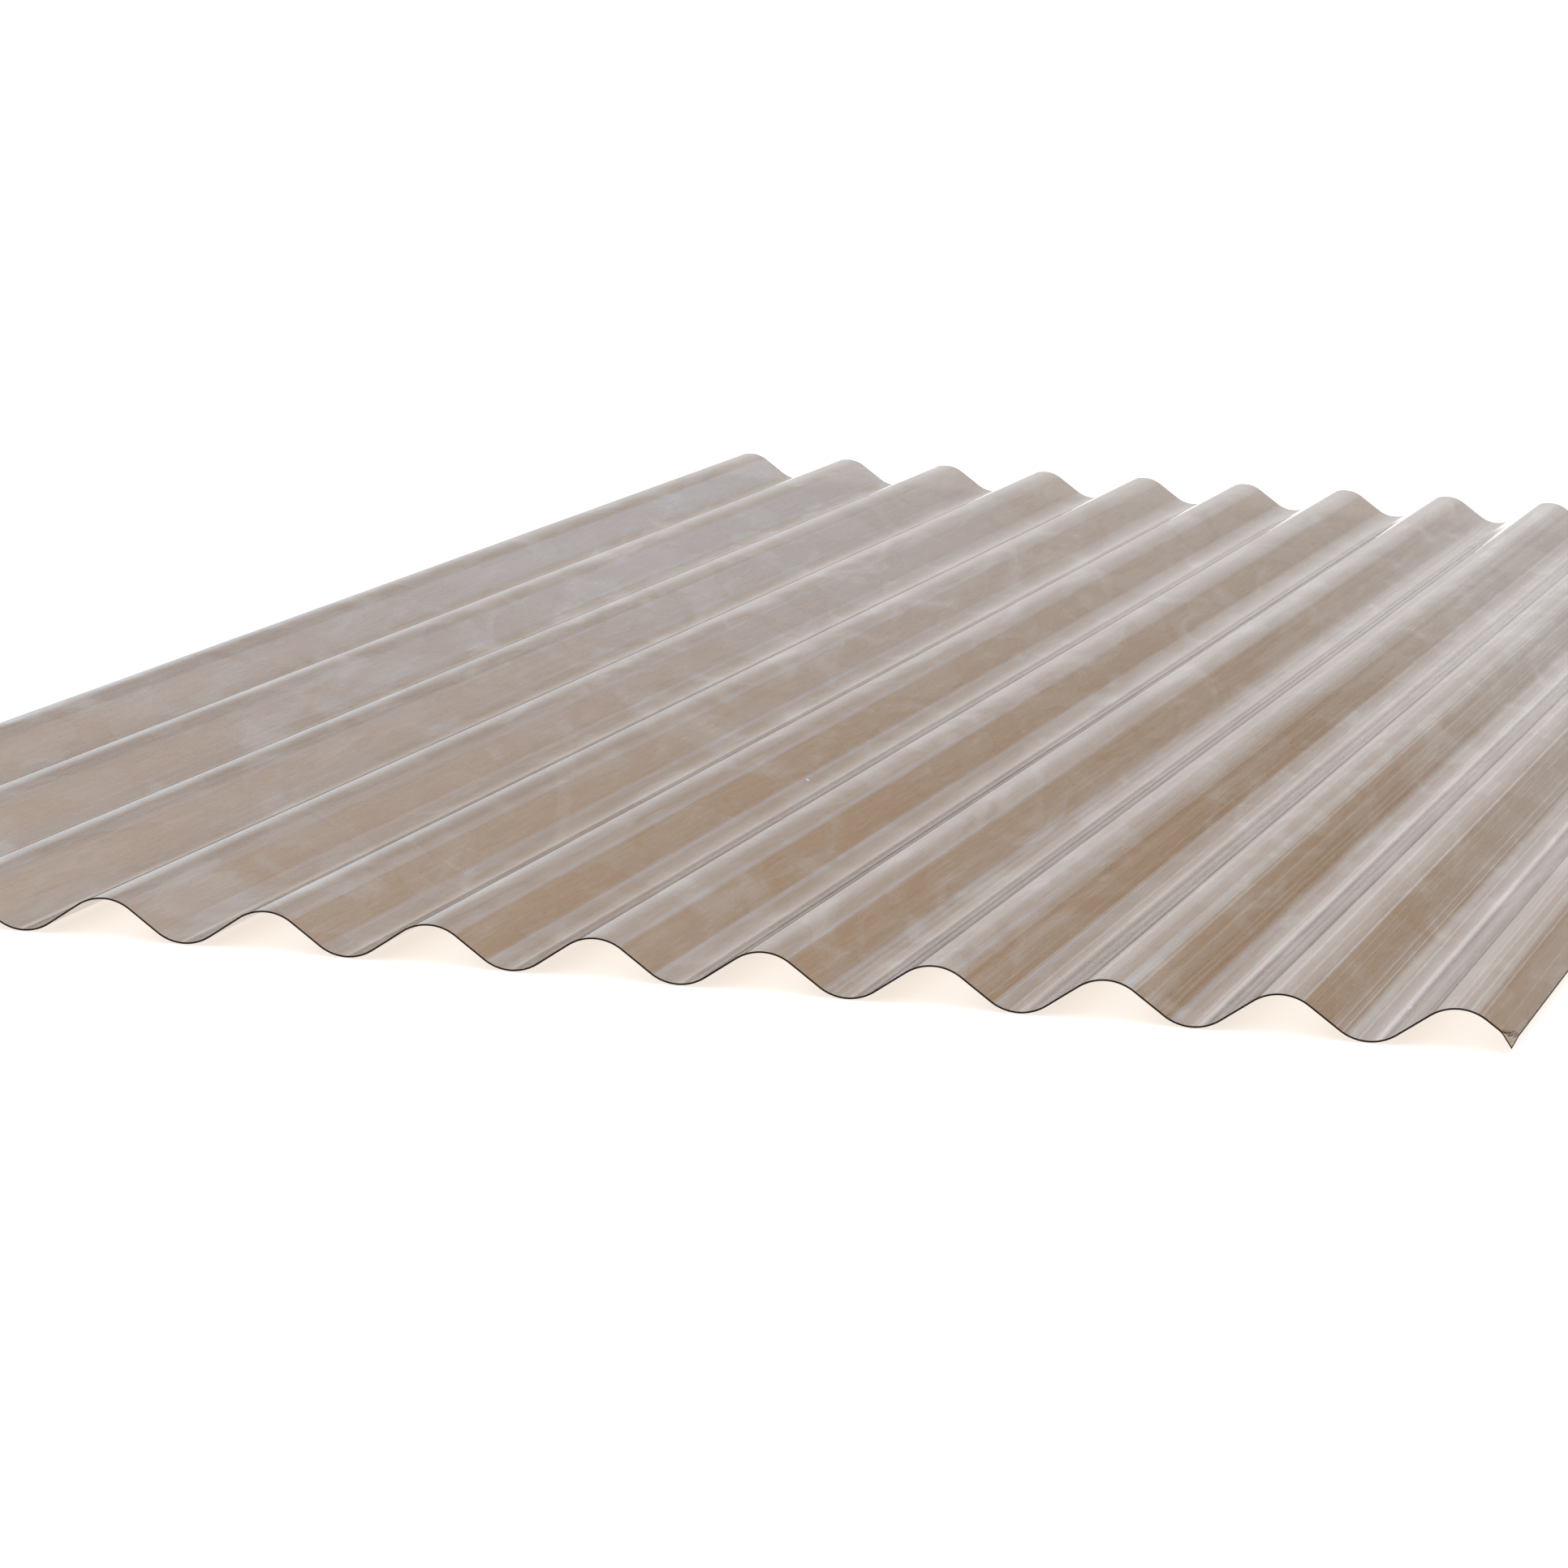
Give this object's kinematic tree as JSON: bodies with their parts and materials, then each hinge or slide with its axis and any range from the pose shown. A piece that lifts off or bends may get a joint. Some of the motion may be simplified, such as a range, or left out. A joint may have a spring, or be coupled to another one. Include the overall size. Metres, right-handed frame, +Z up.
{
  "type": "corrugated roof sheet",
  "caption": "Clear bronze-tinted corrugated plastic roof sheet with a rounded wave, lying flat on its troughs; it lets light through and sheds rain along its channels.",
  "frame": {"origin": "middle of the sheet, level with the undersides of the troughs, on the floor that it lies on", "axes": "+X across the corrugations, +Y along them from the eave end to the ridge end, +Z up out of the weather face"},
  "size_m": [0.9, 2, 0.018],
  "materials": {
    "clear_bronze_plastic": "gloss"
  },
  "bodies": {
    "root": {"roof_sheet": "clear_bronze_plastic"}
  },
  "joints": []
}
